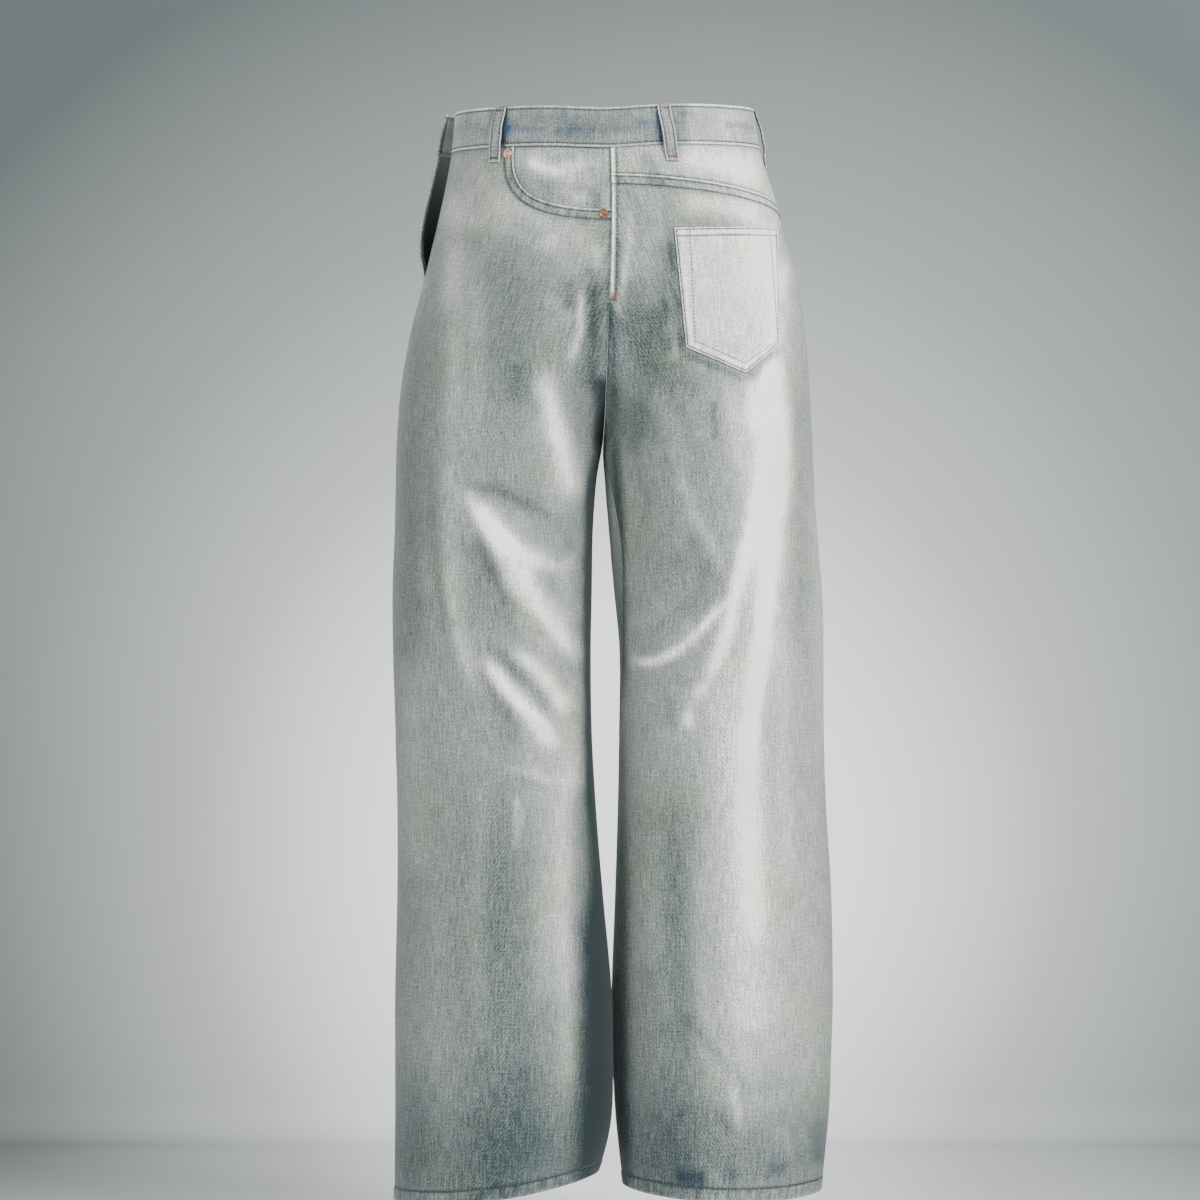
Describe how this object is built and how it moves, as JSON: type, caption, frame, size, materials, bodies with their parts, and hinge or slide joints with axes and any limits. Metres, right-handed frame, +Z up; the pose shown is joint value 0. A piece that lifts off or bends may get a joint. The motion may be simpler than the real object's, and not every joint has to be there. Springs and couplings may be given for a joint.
{
  "type": "wide-leg jeans",
  "caption": "Worn, hollow wide-leg jeans in bleached denim with an open side placket, a scooped riveted pocket, a curved yoke, a patch pocket and belt loops.",
  "frame": {"origin": "the mount waist: middle of the wearer's waist, at half the waistband's height", "axes": "+X to the right of the front view, +Y from the front to the back, +Z up"},
  "size_m": [0.4407, 0.2439, 1.0868],
  "materials": {
    "denim": "bleached right-hand twill, matt",
    "facing_denim": "bleached twill, matt, slightly bluer",
    "band_denim": "bleached twill with blue streaks, matt",
    "rivet_copper": "worn copper"
  },
  "bodies": {
    "root": {"front_panel_left": "denim", "front_panel_right": "denim", "back_panel_left": "denim", "back_panel_right": "denim", "yoke_front": "denim", "yoke_back": "denim", "pocket_facing": "facing_denim", "patch_pocket": "denim", "waistband": "band_denim", "belt_loop_1": "band_denim", "belt_loop_2": "band_denim", "belt_loop_3": "band_denim", "belt_loop_4": "band_denim", "belt_loop_5": "band_denim", "rivet_upper": "rivet_copper", "rivet_lower": "rivet_copper"}
  },
  "joints": []
}
